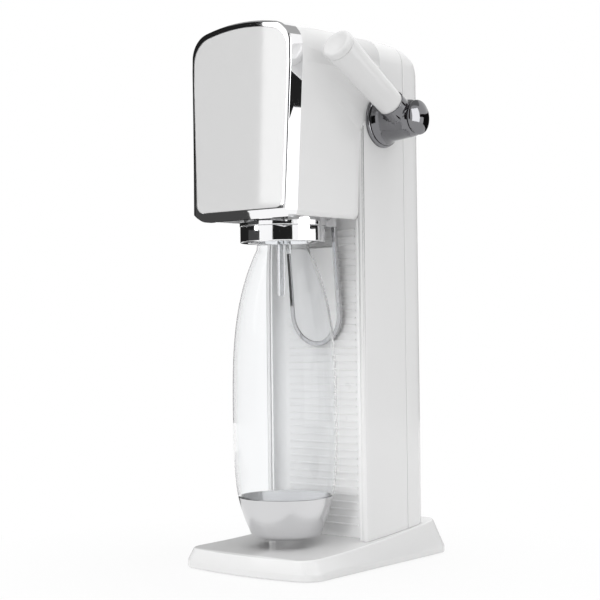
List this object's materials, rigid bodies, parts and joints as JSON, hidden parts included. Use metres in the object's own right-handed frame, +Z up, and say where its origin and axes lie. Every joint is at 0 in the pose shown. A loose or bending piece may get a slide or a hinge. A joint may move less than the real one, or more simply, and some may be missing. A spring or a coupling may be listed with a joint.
{
  "type": "soda carbonator",
  "caption": "Upright drink carbonator with a pull lever on its side, a chrome-framed head, a tilting bottle cradle, a clear bottle and a gas cylinder behind a removable rear cover.",
  "frame": {"origin": "on the table plane, under the bottle's axis", "axes": "+Z up, -Y towards the user, +X to the user's right, where the lever is"},
  "size_m": [0.165, 0.199, 0.431],
  "materials": {
    "aluminium": "satin drawn aluminium",
    "brass": "machined brass",
    "chrome": "bright mirror plating",
    "clear_bottle": "clear moulded bottle",
    "clear_tube": "clear moulding",
    "dark_plastic": "dark matte moulding",
    "panel_white": "flat white panel with a clear gloss",
    "pink_plastic": "coloured moulding that marks the clamp",
    "rubber": "black moulded rubber",
    "steel": "plain bright steel",
    "tube": "pressure tube",
    "white_plastic": "smooth white moulding with a soft gloss",
    "zinc_plate": "grey plated sheet"
  },
  "bodies": {
    "stand": {"base_shell": "white_plastic", "base_plate": "dark_plastic", "rubber_feet": "rubber", "base_screws": "steel", "housing": "white_plastic", "niche_panel": "white_plastic", "frame_bezel": "chrome", "front_panel": "panel_white", "chassis": "zinc_plate", "chassis_screws": "steel", "escutcheon": "chrome", "bush_inner": "dark_plastic", "bush_outer": "dark_plastic", "valve_body": "brass", "valve_spring": "steel", "gas_cylinder": "aluminium", "cylinder_valve": "brass", "cylinder_seat": "rubber", "connector_block": "dark_plastic", "clamp_pin": "steel", "gas_pipe": "tube", "feed_pipe": "tube", "pivot_pins": "steel", "lever_spring": "steel"},
    "lever": {"lever_shaft": "steel", "lever_cam": "dark_plastic", "lever_hub": "chrome", "lever_knob": "chrome", "lever_handle": "white_plastic", "handle_cap": "white_plastic"},
    "plunger": {"valve_plunger": "steel"},
    "cradle": {"cradle_plate": "chrome", "collar_ring": "chrome", "support_band": "chrome", "tongue_panel": "white_plastic", "carbonation_head": "dark_plastic", "nozzle": "clear_tube", "relief_tip": "clear_tube", "relief_valve": "brass", "neck_seal": "rubber"},
    "bottle": {"bottle": "clear_bottle", "bottle_cup": "chrome"},
    "clamp": {"clamp_lever": "pink_plastic"},
    "cover": {"rear_cover": "white_plastic", "button_spring": "steel"},
    "button": {"release_button": "white_plastic"}
  },
  "joints": [
    {"name": "lever_pull", "type": "hinge", "parent": "stand", "child": "lever", "pos_m": [0, 0.0625, 0.358], "axis": [1, 0, 0], "range_deg": [0, 60], "stiffness_Nm_per_rad": 0.8, "springref_deg": -11.46},
    {"name": "valve_push", "type": "slide", "parent": "stand", "child": "plunger", "axis": [0, -1, 0], "range_m": [0, 0.0025], "deforming": ["valve_spring"]},
    {"name": "cradle_tilt", "type": "hinge", "parent": "stand", "child": "cradle", "pos_m": [0, -0.01, 0.286], "axis": [-1, 0, 0], "range_deg": [0, 12]},
    {"name": "bottle_drop", "type": "slide", "parent": "cradle", "child": "bottle", "axis": [0, 0, -1], "range_m": [0, 0.003]},
    {"name": "cover_pull", "type": "slide", "parent": "stand", "child": "cover", "axis": [0, 0.9404, 0.3401], "range_m": [0, 0.05]},
    {"name": "button_press", "type": "slide", "parent": "cover", "child": "button", "axis": [0, -1, 0], "range_m": [0, 0.003], "stiffness_N_per_m": 500, "springref_m": -0.001, "deforming": ["button_spring"]},
    {"name": "clamp_lift", "type": "hinge", "parent": "stand", "child": "clamp", "pos_m": [0, 0.07, 0.3985], "axis": [1, 0, 0], "range_deg": [0, 28]}
  ],
  "couplings": [
    {"joint": "valve_push", "follows": "lever_pull", "m_per_rad": 0.0023873}
  ]
}
